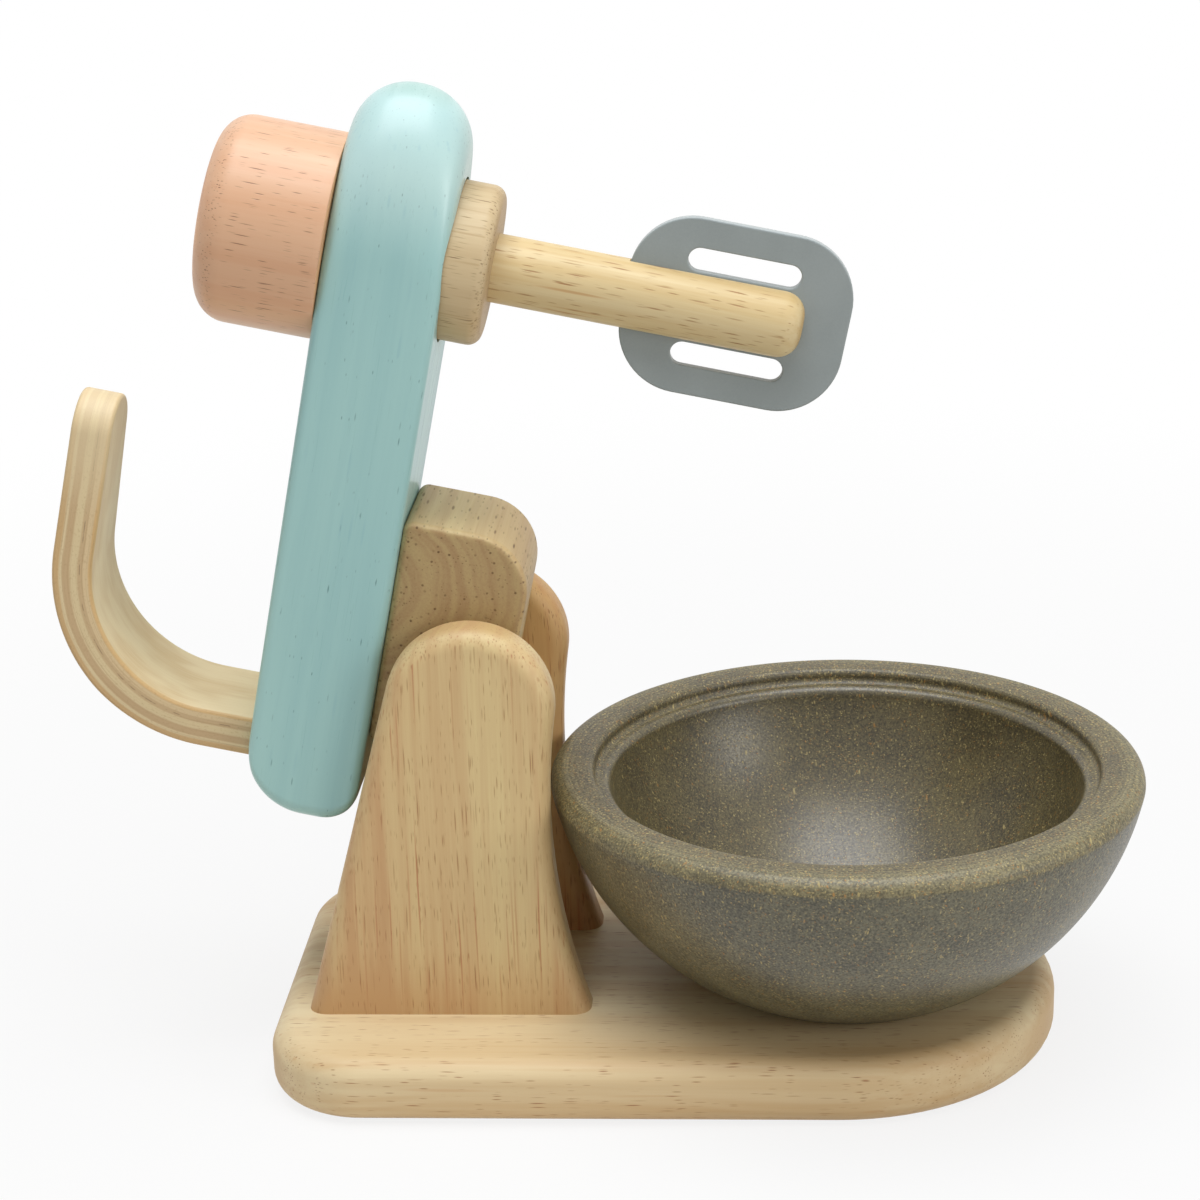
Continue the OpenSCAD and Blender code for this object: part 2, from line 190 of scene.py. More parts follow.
# %% [markdown]
# ## Wood, all the way through
# Under the pores lie broad patches, long soft lines, fine fibres and the year rings round the pith. All of them
# are noise in the same solid grain, so streaks on a side meet the rings on its end, as a saw would leave them.
# Where a board was cut near the heart, a zone adds warmth. Near a post's foot a zone adds warmth and darkness, painted
# bounce light and shade from the base board; a painted sheen zone mixes in a paler colour where a surface meets the
# light. The marks come last, each a length, a width, a share and a depth.

# %% Wood recipe
HEART_WARMTH, FOOT_BOUNCE_SHADE, SHEEN_MIX, RING_SWAY, PORE_SWAY = 0.45, 0.4, 0.52, 9.0, 2.4


def wood(pale, warm, end, pore, rust, late=None, patches=0.45, lines=0.3, hair=0.3, rings=0.15, ring_mm=3.2,
         pith=(70.0, -40.0), heart=None, foot=None, thin=None, dashes=((6.0, 0.6, 0.7, 0.6),),
         streaks=(27.0, 0.84, 0.3, 0.5), rough=0.5, read=marked_grain):
    def recipe(start):
        grain, cut_end = read(start)
        patch = grain.stretched(0.004, 0.035, 0.035).noise().ramped(0.36, 0.64)
        line = grain.stretched(0.006, 0.33, 0.33).noise(3).ramped(*SOFT)
        fibre = grain.stretched(0.06, 2.4, 2.4).noise() - 0.5
        sway = grain.stretched(0.012, 0.05, 0.05).noise()
        speck = grain.stretched(0.7, 2.2, 2.2).noise(1).ramped(0.35, 0.7)
        along = grain.split()
        radius = (along.other(1) - pith[0]).distance(along.other(2) - pith[1]) + sway * RING_SWAY
        ring = (radius * (1 / ring_mm)).bands().ramped(*SOFT)
        warmth = patch * patches + line * lines + ring * rings + fibre * hair
        # the heart zone is the board's own warmth; the foot zone is painted bounce light and shade from the base board
        for place, zone, gain in ((radius, heart, HEART_WARMTH), (along, foot, FOOT_BOUNCE_SHADE)):
            if zone:
                warmth = warmth + gain - place.ramped(*zone) * gain
        side = warmth.between(tint(*pale), tint(*warm))
        # painted sheen: along the zone a paler colour is mixed in as a painted highlight
        if thin:
            first, last, sheen_colour = thin
            side = (along.ramped(first, last) * SHEEN_MIX).between(side, tint(*sheen_colour))
        sawn = (ring * 0.7 + speck * 0.3).between(tint(*end), tint(*(late or warm)))
        colour = cut_end.between(side, sawn)
        shift = start.node("CombineXYZ", {}, {1: sway * PORE_SWAY, 2: sway * PORE_SWAY})
        swayed = start.node("VectorMath", {"operation": "ADD"}, {0: grain, 1: shift})
        *size_share, depth = streaks
        streak = pores(swayed, *size_share, cut_end) * (1 - cut_end)
        colour = (streak * depth).between(colour, tint(*rust))
        open_pores = 0.0
        for *size_share, depth in dashes:
            mark = pores(swayed, *size_share, cut_end)
            colour = (mark * depth).between(colour, tint(*pore))
            open_pores = mark + open_pores
        return colour, rough + fibre * 0.16 + open_pores * 0.12, fibre * 0.4 - open_pores
    return recipe


print("heart and foot add warmth", HEART_WARMTH, FOOT_BOUNCE_SHADE)

# %% [markdown]
# ## Varnished woods
# The base, posts, block, shaft and collar are the same pale timber under clear matt varnish, cut from different
# boards, and the block shows its rings. The far post's colours are browner and darker, painted shade, since it stands
# in shadow. One recipe with other colours, in the order pale, warm, end, pore and rust, and other shares makes them
# all.

# %% Varnished woods
VARNISH = {"Specular IOR Level": 0.42}


def varnished(name, *colours, bump_mm=0.05, **figure):
    return finish(name, wood(*colours, **figure), bump_mm, **VARNISH)


base_wood = varnished(
    "varnished_base", (231, 214, 175), (210, 180, 134), (210, 181, 135), (152, 92, 50), (200, 152, 102),
    bump_mm=0.04, lines=0.25, hair=0.22, rings=0.45, ring_mm=6.0, pith=(-30, 60),
    dashes=((7.0, 0.55, 0.26, 0.8), (4.0, 0.5, 0.28, 0.7)), streaks=(44.0, 1.6, 0.3, 0.4))
POST_FIGURE = {"patches": 0.25, "hair": 0.4, "pith": (-70, 0), "streaks": (60.0, 0.8, 0.4, 0.75),
               "dashes": ((13.0, 0.6, 0.3, 0.65), (6.0, 0.5, 0.4, 0.6), (3.0, 0.4, 0.3, 0.5))}
# painted bounce light and shade: the foot zone warms and darkens the post near the base board
post_wood = varnished(
    "varnished_posts", (225, 206, 154), (203, 165, 120), (210, 181, 128), (154, 96, 52), (184, 116, 76),
    heart=(44, 84), foot=(26, 46), **POST_FIGURE)
# painted shade: the far post is browner and darker because it stands in shadow behind the near one
far_post_shaded_wood = varnished(
    "varnished_far_post_shaded", (213, 180, 122), (196, 145, 96), (200, 158, 102), (140, 83, 39), (178, 106, 62),
    foot=(164, 184), **POST_FIGURE)
block_wood = varnished(
    "varnished_block", (212, 190, 140), (186, 154, 109), (180, 157, 111), (82, 50, 27), (172, 127, 84),
    late=(165, 135, 95), rings=0.3, ring_mm=3.4, pith=(32, 52),
    dashes=((6.0, 1.2, 0.5, 0.8), (3.0, 0.7, 0.45, 0.5)), streaks=(20.0, 0.9, 0.15, 0.4))
shaft_wood = varnished(
    "varnished_shaft", (224, 207, 164), (204, 175, 120), (190, 163, 119), (146, 88, 36), (184, 128, 62),
    pith=(14, 20), dashes=((9.0, 0.75, 0.45, 0.8), (5.0, 0.55, 0.45, 0.65)), streaks=(30.0, 1.3, 0.45, 0.7))
collar_wood = varnished(
    "varnished_collar", (210, 190, 152), (190, 165, 125), (187, 160, 120), (122, 90, 54), (172, 142, 98),
    pith=(14, 20), dashes=((13.0, 0.65, 0.5, 0.9), (6.0, 0.45, 0.5, 0.7)), streaks=(24.0, 0.9, 0.4, 0.6))
print("varnished", [m.name for m in bpy.data.materials if m.name.startswith("varnished")])

# %% [markdown]
# ## Stained woods
# The head and the knob are that timber under a thin mint or peach stain, which evens out the streaks but leaves
# the open pores dark. They are smoother to the touch, so they shine more and have less bump, and the mint is
# painted paler over the rounded nose, a painted sheen where the nose turns towards the overhead light.

# %% Stained woods
# the paler zone over the nose is a painted sheen from the overhead light
mint_wood = varnished(
    "mint_stain", (170, 214, 213), (142, 191, 197), (178, 207, 202), (58, 100, 110), (134, 185, 198),
    late=(168, 200, 194), thin=(112, 134, (206, 229, 225)), bump_mm=0.012, rough=0.3,
    patches=0.6, lines=0.12, hair=0.12, rings=0.08,
    dashes=((3.6, 0.6, 0.05, 0.65), (1.6, 0.5, 0.05, 0.6)), streaks=(14.0, 1.4, 0.25, 0.25))
peach_wood = varnished(
    "peach_stain", (225, 187, 155), (214, 163, 127), (238, 185, 136), (104, 58, 38), (200, 146, 113),
    bump_mm=0.03, rough=0.38, rings=0.05, hair=0.2,
    dashes=((7.0, 0.42, 0.22, 0.9), (4.0, 0.36, 0.3, 0.75)), streaks=(30.0, 0.8, 0.2, 0.3))
print("stained", [m.name for m in bpy.data.materials if m.name.endswith("stain")])

# %% [markdown]
# ## Shapes from rings
# Boards with rounded edges are stacks of outlines: each outline is the edge drawn in by the amount that the
# rounding takes at that height. A bevel modifier would need a clean cage and gives less say over the roundings,
# so the outlines are computed and joined by quads. One flat ring inside each end keeps the ends' shading flat.

# %% Rings
FLAT_IN = 0.25


def arc(centre, radius, first, last, steps):
    turns = [math.radians(first + (last - first) * i / steps) for i in range(steps + 1)]
    return [(centre[0] + radius * math.cos(t), centre[1] + radius * math.sin(t)) for t in turns]


def plan_ring(low, high, radii, inset, steps=20):
    corners = ((low[0], low[1], 1, 1, 180), (high[0], low[1], -1, 1, 270),
               (high[0], high[1], -1, -1, 0), (low[0], high[1], 1, -1, 90))
    ring = []
    for (x, y, right, up, turn), r in zip(corners, radii):
        ring += arc((x + right * r, y + up * r), r - inset, turn, turn + 90, steps)
    return ring


def edge_layers(thick, radius, steps=9):
    quarter = [math.radians(90 * i / steps) for i in range(steps + 1)]
    lower = [(0.0, radius + FLAT_IN)]
    lower += [(radius * (1 - math.cos(q)), radius * (1 - math.sin(q))) for q in quarter]
    return lower + [(thick - height, inset) for height, inset in reversed(lower)]


def loft(rings, capped=True):
    n = len(rings[0])
    points = [p for ring in rings for p in ring]
    faces = [(j * n + i, j * n + (i + 1) % n, (j + 1) * n + (i + 1) % n, (j + 1) * n + i)
             for j in range(len(rings) - 1) for i in range(n)]
    caps = [tuple(range(n)), tuple(range(len(points) - n, len(points)))] if capped else []
    return points, faces + caps


def turned(profile, sides=128):
    spokes = [2 * math.pi * i / sides for i in range(sides)]
    return loft([[(r * math.cos(a), r * math.sin(a), z) for a in spokes] for r, z in profile], capped=False)


print("layers of a rounded board", len(edge_layers(15.0, 5.0)))

# %% [markdown]
# ## Meshes and cuts
# Every piece is drawn in millimetres in its own pose. Holes are cut with the exact boolean, because it keeps the
# mesh closed. Where a cutter's corners fall almost on the piece's own, it leaves slivers, so points that lie
# closer than a hair are joined afterwards.

# %% Meshes
PAST, HAIR = 2.0, 0.004


def solid(name, points, faces):
    mesh = bpy.data.meshes.new(name)
    mesh.from_pydata(points, [], faces)
    work = bmesh.new()
    work.from_mesh(mesh)
    bmesh.ops.remove_doubles(work, verts=work.verts, dist=1e-4)
    bmesh.ops.recalc_face_normals(work, faces=work.faces)
    work.to_mesh(mesh)
    work.free()
    made = bpy.data.objects.new(name, mesh)
    bpy.context.scene.collection.objects.link(made)
    return made


def evaluated_mesh(made):
    return bpy.data.meshes.new_from_object(made.evaluated_get(bpy.context.evaluated_depsgraph_get()))


def cut(target, cutter):
    knife = target.modifiers.new("cut", "BOOLEAN")
    knife.operation, knife.object, knife.solver = "DIFFERENCE", cutter, "EXACT"
    cut_mesh = evaluated_mesh(target)
    target.modifiers.clear()
    target.data = cut_mesh
    bpy.data.objects.remove(cutter)
    work = bmesh.new()
    work.from_mesh(cut_mesh)
    bmesh.ops.remove_doubles(work, verts=work.verts, dist=HAIR)
    bmesh.ops.dissolve_degenerate(work, edges=work.edges, dist=HAIR)
    work.to_mesh(cut_mesh)
    work.free()


def drill(target, radius, low, high, x=0.0):
    points, faces = turned([(0, low), (radius, low), (radius, high), (0, high)], 96)
    cut(target, solid("drill", [(px + x, py, pz) for px, py, pz in points], faces))


def box(name, low, high):
    points = [(x, y, z) for x in (low[0], high[0]) for y in (low[1], high[1]) for z in (low[2], high[2])]
    return solid(name, points, [(0, 1, 3, 2), (4, 6, 7, 5), (0, 4, 5, 1), (2, 3, 7, 6), (0, 2, 6, 4), (1, 5, 7, 3)])


print("cutters reach", PAST, "mm past a face, and points within", HAIR, "mm are joined")

# %% [markdown]
# ## A mesh that knows its grain
# After any holes are cut, each point gets its place along and across the grain, shifted to its own spot in the
# log so that no two pieces look alike, and how squarely the surface cuts the grain. Only then is the mesh moved
# to where the solid is, so the grain moves with the piece. The piece then rides on its body, stands for its node
# and takes its material.

# %% Grain and place
SHARP = 35
AXES = {"x": (0, 1, 2), "y": (1, 2, 0), "z": (2, 0, 1)}


def smooth(mesh):
    mesh.shade_smooth()
    mesh.set_sharp_from_angle(angle=math.radians(SHARP))


def mark_grain(made, along, log=(0, 0, 0)):
    mesh = made.data
    smooth(mesh)
    order = AXES[along]
    places = [v.co[k] + shift for v in mesh.vertices for k, shift in zip(order, log)]
    mesh.attributes.new("grain", "FLOAT_VECTOR", "POINT").data.foreach_set("vector", places)
    squareness = [abs(n.vector[order[0]]) for n in mesh.corner_normals]
    mesh.attributes.new("cut_end", "FLOAT", "CORNER").data.foreach_set("value", squareness)
    return made


def set_piece(made, node, body, material, place=Matrix.Identity(4)):
    made.data.transform(Matrix.Diagonal((MM, MM, MM, 1)) @ place)
    made.data.materials.clear()
    made.data.materials.append(material)
    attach(made, body)
    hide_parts(node)
    print(made.name, "faces", len(made.data.polygons), "for", node)


# %% [markdown]
# ## Base board
# The base is one board, square with rounded corners behind and a half round in front, with a generous rounding
# on its edges and a shallow turned seat for the bowl. It is a stack of outlines with the seat cut by a boolean.
# The grain runs along the board.

# %% Base board
base_len, base_w, base_t, base_edge, base_corner = 179.0, 103.0, 15.0, 5.0, 22
bowl_x, seat_z, seat_r = 41.0, 12.0, 29.35
base_half = (base_len / 2, base_w / 2)
base_radii = (base_corner, base_w / 2, base_w / 2, base_corner)
base_layers = [[(x, y, z) for x, y in plan_ring((-base_half[0], -base_half[1]), base_half, base_radii, inset)]
               for z, inset in edge_layers(base_t, base_edge)]
base = solid("base_wood", *loft(base_layers))
drill(base, seat_r, seat_z, base_t + PAST, x=bowl_x)
set_piece(mark_grain(base, "x", log=(40, 11, 23)), "base_board", "base", base_wood)

# %% [markdown]
# ## Posts
# Each post is a slab with a round top, a slanted rear edge and a hollow front edge that runs out into a toe.
# The side view is the same chain of arcs as the solid, drawn in ring by ring for the rounded edges. The timber
# stands upright, so the grain runs up the post, and the pores show as short upright dashes.

# %% Posts
pivot_x, pivot_z = -42.0, 88.2
post_top_r, post_slant, post_foot, post_front_r = 18.8, 15.4, 24.9, 150.0
post_t, post_edge, post_in = 11.5, 4.0, 16.0


def circle_meet(a, ra, b, rb):
    a, b = Vector(a), Vector(b)
    span = (b - a).length
    run = (span ** 2 + ra ** 2 - rb ** 2) / (2 * span)
    way = (b - a) / span
    return a + run * way + math.sqrt(ra ** 2 - run ** 2) * Vector((way.y, -way.x))


front_c = circle_meet((pivot_x + post_foot, base_t), post_front_r, (pivot_x, pivot_z), post_front_r + post_top_r)
tangent = math.degrees(math.atan2(front_c.y - pivot_z, front_c.x - pivot_x))


def post_ring(inset):
    lean, top_r = math.radians(post_slant), post_top_r - inset
    toe = 180 + math.degrees(math.asin((front_c.y - base_t) / (post_front_r + inset)))
    rear_x, rear_z = pivot_x - top_r * math.cos(lean), pivot_z + top_r * math.sin(lean)
    heel = (rear_x - (rear_z - base_t) * math.tan(lean), base_t)
    return ([heel] + arc(front_c, post_front_r + inset, toe, 180 + tangent, 28)
            + arc((pivot_x, pivot_z), top_r, tangent, 180 - post_slant, 56)[1:])


for name, side, log, post_finish in (("right_post", -1, (12, 33, 5), post_wood),
                                     ("left_post", 1, (150, 90, 60), far_post_shaded_wood)):
    low_y = side * (post_in + post_t / 2) - post_t / 2
    layers = [[(x, low_y + y, z) for x, z in post_ring(inset)] for y, inset in edge_layers(post_t, post_edge)]
    post = solid(name + "_wood", *loft(layers))
    set_piece(mark_grain(post, "z", log=log), name, "base", post_finish)

# %% [markdown]
# ## The tilting head's frame
# The head's pieces are easiest to draw with the head lowered, flat above the base, with the pivot axis as the
# origin. One matrix then tips them up to where the solids stand at rest, 78 degrees about the pivot.

# %% Head frame
tilt, drive_x = 78, 92.4
RAISED = Matrix.Translation((pivot_x, 0, pivot_z)) @ Matrix.Rotation(math.radians(-tilt), 4, "Y")
ON_DRIVE = RAISED @ Matrix.Translation((drive_x, 0, 0))
print("drive axis in mm", [round(v, 1) for v in ON_DRIVE.translation])

# %% [markdown]
# ## Head board
# The head is a thick bar stained mint: flat sides with a small rounding on their edges, a nose that draws in like
# half an ellipse from above and ends in a full round from the side, and a square tail with a big rounding above.
# Each outline of the stack is worked out from its height, so that every rounding gets its own radius. The recess
# for the collar, the bore for the shaft and the slot for the handle are cut for real, as the gap at the collar
# shows.

# %% Head board
head_under, head_t, head_w, head_len, head_tail, head_edge = 21.4, 26.0, 39.0, 164.5, 36.0, 2.2
nose_r, nose_len, tail_r, heel_r, tail_corner = 12.5, 35.0, 14.0, 8.0, 4.0
head_top = head_under + head_t
shaft_r, collar_r, collar_in = 7.5, 17.5, 4.0
handle_x, handle_t, handle_w, tenon = -20.8, 9.0, 29.0, 12.0
FIT, BORE_FREE, RECESS_FREE, NOSE_STEPS = 0.05, 0.06, 0.6, 24


def drawn_in(away, radius):
    return 0.0 if away >= radius else radius - math.sqrt(radius ** 2 - (radius - away) ** 2)


def head_ring(height, shrink=0.0):
    over = head_t - height
    nearest = min(height, over)
    half = head_w / 2 - drawn_in(nearest, head_edge) - shrink
    rear = max(drawn_in(height, heel_r), drawn_in(over, tail_r)) - head_tail + shrink
    middle = head_len - head_tail - drawn_in(nearest, nose_r) - nose_len - shrink
    plan = arc((rear + tail_corner, tail_corner - half), tail_corner, 180, 270, 10)
    plan += [(middle + nose_len * x, half * y) for x, y in arc((0, 0), 1, -90, 90, 72)]
    plan += arc((rear + tail_corner, half - tail_corner), tail_corner, 90, 180, 10)
    return [(x, y, head_under + height) for x, y in plan]


heights = [nose_r * (1 - math.cos(math.radians(90 * i / NOSE_STEPS))) for i in range(NOSE_STEPS + 1)]
heights += [head_t - height for height in reversed(heights)]
layers = [head_ring(0, FLAT_IN)] + [head_ring(height) for height in heights] + [head_ring(head_t, FLAT_IN)]
head = solid("head_wood", *loft(layers))
drill(head, collar_r + RECESS_FREE, head_under - PAST, head_under + collar_in, x=drive_x)
drill(head, shaft_r + BORE_FREE, head_under - PAST, head_top + PAST, x=drive_x)
slot_x, slot_y = handle_t / 2 + FIT, handle_w / 2 + FIT
cut(head, box("slot", (handle_x - slot_x, -slot_y, head_top - tenon), (handle_x + slot_x, slot_y, head_top + PAST)))
set_piece(mark_grain(head, "x", log=(20, 70, 15)), "head_board", "head", mint_wood, RAISED)

# %% [markdown]
# ## Pivot block
# The block hangs under the head between the posts and turns on the pivot pin. One lower corner is a big round,
# so that it clears the stop. It is cut across the board: the sides that face the posts are end grain, browner
# and dotted with pores, and the other faces carry short dashes across the toy.

# %% Pivot block
block_front, block_rear, block_face, block_w, block_edge = 36.8, 16.0, 7.9, 31.2, 1.6
block_corner, block_round, pin_r, bore_half = 2.4, 13.0, 4.0, 30
block_low, block_high = (-block_rear, -block_face), (block_front, head_under)
block_radii = (block_corner, block_round, block_corner, block_corner)
layers = [[(x, y - block_w / 2, z) for x, z in plan_ring(block_low, block_high, block_radii, inset, 14)]
          for y, inset in edge_layers(block_w, block_edge, 6)]
block = solid("block", *loft(layers))
bore_r = pin_r + BORE_FREE
points, faces = turned([(0, -bore_half), (bore_r, -bore_half), (bore_r, bore_half), (0, bore_half)], 64)
cut(block, solid("pin_bore", [(x, z, y) for x, y, z in points], faces))
set_piece(mark_grain(block, "y", log=(9, 4, 31)), "pivot_block", "head", block_wood, RAISED)

# %% [markdown]
# ## Knob
# The knob is turned on a lathe, so a half profile spun round the axis is the honest way to draw it. It has a wide
# rounding, a slightly domed face and a barely eased lower edge, and stands close on the head. The shaft ends blind
# in it.

# %% Knob
free_gap, close_gap, blind = 0.3, 0.05, 17.25
knob_r, knob_h, knob_round, knob_dome = 22.6, 28.6, 7.0, 1.4
knob_edge, knob_ease, knob_band, dome_steps = 0.3, 0.08, 1.6, 12
flat_r, knob_low, knob_top = knob_r - knob_round, head_top + close_gap, head_top + free_gap + knob_h
dome_r = (flat_r ** 2 + knob_dome ** 2) / (2 * knob_dome)
dome_z, dome_turn = knob_top - dome_r, math.degrees(math.asin(flat_r / dome_r))
dome = [flat_r * i / dome_steps for i in range(dome_steps - 1, -1, -1)]
profile = [(0, knob_low), (knob_r - knob_edge, knob_low), (knob_r - knob_ease, knob_low + knob_ease),
           (knob_r, knob_low + knob_edge), (knob_r, knob_low + knob_band)]
profile += arc((flat_r, knob_top - knob_dome - knob_round), knob_round, 0, 90 - dome_turn, 16)
profile += [(r, dome_z + math.sqrt(dome_r ** 2 - r ** 2)) for r in dome]
knob = solid("knob_wood", *turned(profile))
drill(knob, shaft_r + FIT, head_top - PAST, head_top + blind + FIT)
set_piece(mark_grain(knob, "z", log=(5, 21, 48)), "knob", "beater", peach_wood, ON_DRIVE)

# %% [markdown]
# ## Collar and shaft
# The collar sits in its recess under the head with a little play. The shaft runs through it, ends in a soft round
# and is slit for the beater plate. Both are turned like the knob, and the slit is cut as a saw would cut it.

# %% Collar
collar_out, collar_round, collar_edge = 9.0, 3.0, 0.4
collar_low, collar_high = head_under - collar_out, head_under + collar_in - free_gap
profile = [(0, collar_low)] + arc((collar_r - collar_round, collar_low + collar_round), collar_round, -90, 0, 10)
profile += [(collar_r, collar_high - collar_edge), (collar_r - collar_edge, collar_high), (0, collar_high)]
collar = solid("collar", *turned(profile))
drill(collar, shaft_r + FIT, collar_low - PAST, collar_high + PAST)
set_piece(mark_grain(collar, "z", log=(75, 12, 9)), "shaft_collar", "beater", collar_wood, ON_DRIVE)

# %% Shaft
shaft_out, shaft_round, shaft_top = 77.0, 5.0, head_top + blind
plate_t, plate_len, plate_past, slit_half, slit_past = 2.6, 49.0, 9.8, 20, 5
shaft_end = head_under - shaft_out
plate_low = shaft_end - plate_past
profile = [(0, shaft_end)] + arc((shaft_r - shaft_round, shaft_end + shaft_round), shaft_round, -90, 0, 12)
profile += [(shaft_r, z) for z in (-40, -20, 0, 20, shaft_top)] + [(0, shaft_top)]
shaft = solid("shaft", *turned(profile, 96))
slit_y = plate_t / 2 + FIT
cut(shaft, box("slit", (-slit_half, -slit_y, shaft_end - slit_past), (slit_half, slit_y, plate_low + plate_len + FIT)))
set_piece(mark_grain(shaft, "z", log=(30, 55, 64)), "beater_shaft", "beater", shaft_wood, ON_DRIVE)

# %% [markdown]
# ## Beater plate: the shape
# A thin board with round corners and two slots. A filled flat curve holds the outline and the slots as separate
# loops, and its bevel softens the sprayed edges, which a boolean would leave hard.

# %% Plate shape
plate_w, plate_r, slot_len, slot_w, slot_off, soft = 39.0, 14.0, 24.8, 5.1, 10.5, 0.35
loops = [plan_ring((-plate_w / 2, -plate_len / 2), (plate_w / 2, plate_len / 2), (plate_r,) * 4, soft, 16)]
half, slot_r = slot_len / 2 - slot_w / 2, slot_w / 2 + soft
loops += [arc((x, half), slot_r, 0, 180, 14) + arc((x, -half), slot_r, 180, 360, 14) for x in (-slot_off, slot_off)]
curve = bpy.data.curves.new("plate_outline", "CURVE")
curve.dimensions, curve.fill_mode = "2D", "BOTH"
curve.extrude, curve.bevel_depth, curve.bevel_resolution = plate_t / 2 - soft, soft, 3
for loop in loops:
    spline = curve.splines.new("POLY")
    spline.points.add(len(loop) - 1)
    spline.use_cyclic_u = True
    for point, (x, y) in zip(spline.points, loop):
        point.co = (x, y, 0, 1)
outline = bpy.data.objects.new("plate_outline", curve)
bpy.context.scene.collection.objects.link(outline)
plate = bpy.data.objects.new("plate", evaluated_mesh(outline))
bpy.context.scene.collection.objects.link(plate)
bpy.data.objects.remove(outline)
print("plate loops", [len(loop) for loop in loops])

# %% [markdown]
# ## Beater plate: the paint
# The plate is sprayed a satin blue-grey, faintly cloudy, and its edges are painted paler, a painted highlight where
# they catch the light. A mark on the points of the edge carries that to the finish.

# %% Plate paint
def plate_paint(start):
    where = start.carried("grain", "Vector")
    cloud = where.stretched(0.06, 0.06, 0.06).noise().ramped(0.3, 0.7)
    spray = where.stretched(2.6, 2.6, 2.6).noise()
    shade = cloud * 0.6 + (spray - 0.5) * 0.5 + 0.1
    colour = shade.between(tint(154, 164, 166), tint(141, 151, 153))
    # painted highlight: the edges are mixed towards a pale grey
    edge_highlight = (start.carried("rim") * 0.55).between(colour, tint(190, 195, 194))
    return edge_highlight, 0.46 + (spray - 0.5) * 0.2, spray


on_rim = [float(abs(v.co.z) < plate_t / 2 - soft * 0.5) for v in plate.data.vertices]
plate.data.attributes.new("rim", "FLOAT", "POINT").data.foreach_set("value", on_rim)
plate_grey = finish("plate_paint", plate_paint, 0.02, **{"Specular IOR Level": 0.4})
UPRIGHT = Matrix.Translation((0, 0, plate_low + plate_len / 2)) @ Matrix.Rotation(math.radians(90), 4, "X")
set_piece(mark_grain(plate, "y"), "beater_plate", "beater", plate_grey, ON_DRIVE @ UPRIGHT)

# %% [markdown]
# ## Lift handle: the bend
# The handle is a strip of plywood bent in a mould: it stands in the head, turns through a quarter and runs back
# over the head, getting narrower towards its round end. A curve with a bevel can't taper in one direction only,
# so the strip is drawn as layers through its thickness, each one an outline that is carried round the bend. A
# point is given by its way s along the middle of the strip and its place t through the thickness.

# %% Handle bend
bend_r, handle_rise, grip, tip_r, handle_edge, strip_steps = 29.5, 50.2, 35.0, 8.75, 0.9, 80
mid_r, foot_z = bend_r + handle_t / 2, head_top - tenon
bend_at = Vector((handle_x + mid_r, head_top + handle_rise - bend_r - handle_t))
upright = bend_at.y - foot_z
bend_end = upright + math.pi / 2 * mid_r
tip_x, tip_s, taper_x = bend_at.x + grip - tip_r, bend_end + grip, handle_x + handle_t / 2
taper = math.asin(tip_r / math.hypot(tip_x - taper_x, handle_w / 2)) - math.atan2(handle_w / 2, tip_x - taper_x)


def on_strip(s, t):
    if s <= upright:
        return Vector((handle_x - t, foot_z + s))
    if s <= bend_end:
        a = math.pi - (s - upright) / mid_r
        return bend_at + (mid_r + t) * Vector((math.cos(a), math.sin(a)))
    return bend_at + Vector((s - bend_end, mid_r + t))


print("strip length", round(tip_s, 1), "taper in degrees", round(math.degrees(taper), 1))

# %% [markdown]
# ## Lift handle: the strip
# Half an outline runs from the foot to the round tip at the width that the taper leaves, and its mirror image
# closes it. Quads across each outer layer close the strip. The points keep their place in the strip, and how
# much they belong to the cut sides, for the plies.

# %% Handle strip
def strip_half(t, inset):
    touch_x = tip_x - (tip_r - inset) * math.sin(taper)
    last_s = bend_end + touch_x - bend_at.x
    half = []
    for i in range(strip_steps):
        s = last_s * i / strip_steps
        narrowed = max(on_strip(s, t).x - taper_x, 0) * math.tan(taper)
        half.append((s, handle_w / 2 + narrowed - inset))
    tip = arc((tip_x, 0), tip_r - inset, 90 + math.degrees(taper), 0, 18)[:-1]
    return half + [(bend_end + x - bend_at.x, y) for x, y in tip]


layers, places, on_side = [], [], []
for height, inset in edge_layers(handle_t, handle_edge, 5):
    t = height - handle_t / 2
    half = strip_half(t, inset)
    flat = half + [(s, -y) for s, y in reversed(half)]
    layers.append([(on_strip(s, t).x, y, on_strip(s, t).y) for s, y in flat])
    places += [k for s, y in flat for k in (s, y, t)]
    on_side += [max(1 - inset / handle_edge, 0.0)] * len(flat)
points, faces = loft(layers, capped=False)
n = len(layers[0])
for first in (0, len(points) - n):
    faces += [(first + i, first + i + 1, first + n - 2 - i, first + n - 1 - i) for i in range(n // 2 - 1)]
handle = solid("handle_strip", points, faces)
smooth(handle.data)
handle.data.attributes.new("strip", "FLOAT_VECTOR", "POINT").data.foreach_set("vector", places)
handle.data.attributes.new("side_cut", "FLOAT", "POINT").data.foreach_set("value", on_side)
print("handle points", len(points), "kept", len(handle.data.vertices))

# %% [markdown]
# ## Lift handle: the plies
# On the sides of the strip the plies show as bands that follow the bend, tan where the fibres are cut across and
# cream where they run along, with thin glue lines. The faces are a pale veneer. The bands come from the thickness
# coordinate through a ramp, from 0 on the inner side of the bend to 1 on the outer, shaken a little by noise so
# that no line is ruler-straight. Towards the round tip the sides are painted paler, painted light where the strip
# faces the lamp above.

# %% Plywood
PLIES = ((0.0, 0.07, (207, 173, 121)), (0.11, 0.21, (214, 192, 152)), (0.24, 0.34, (199, 174, 135)),
         (0.38, 0.53, (217, 199, 158)), (0.57, 0.72, (198, 172, 133)), (0.75, 0.80, (219, 201, 161)),
         (0.84, 1.0, (205, 174, 127)))
GLUE_AT, PAINTED_LIGHT_TIP = 0.30, (tip_s - 30, tip_s - 8)


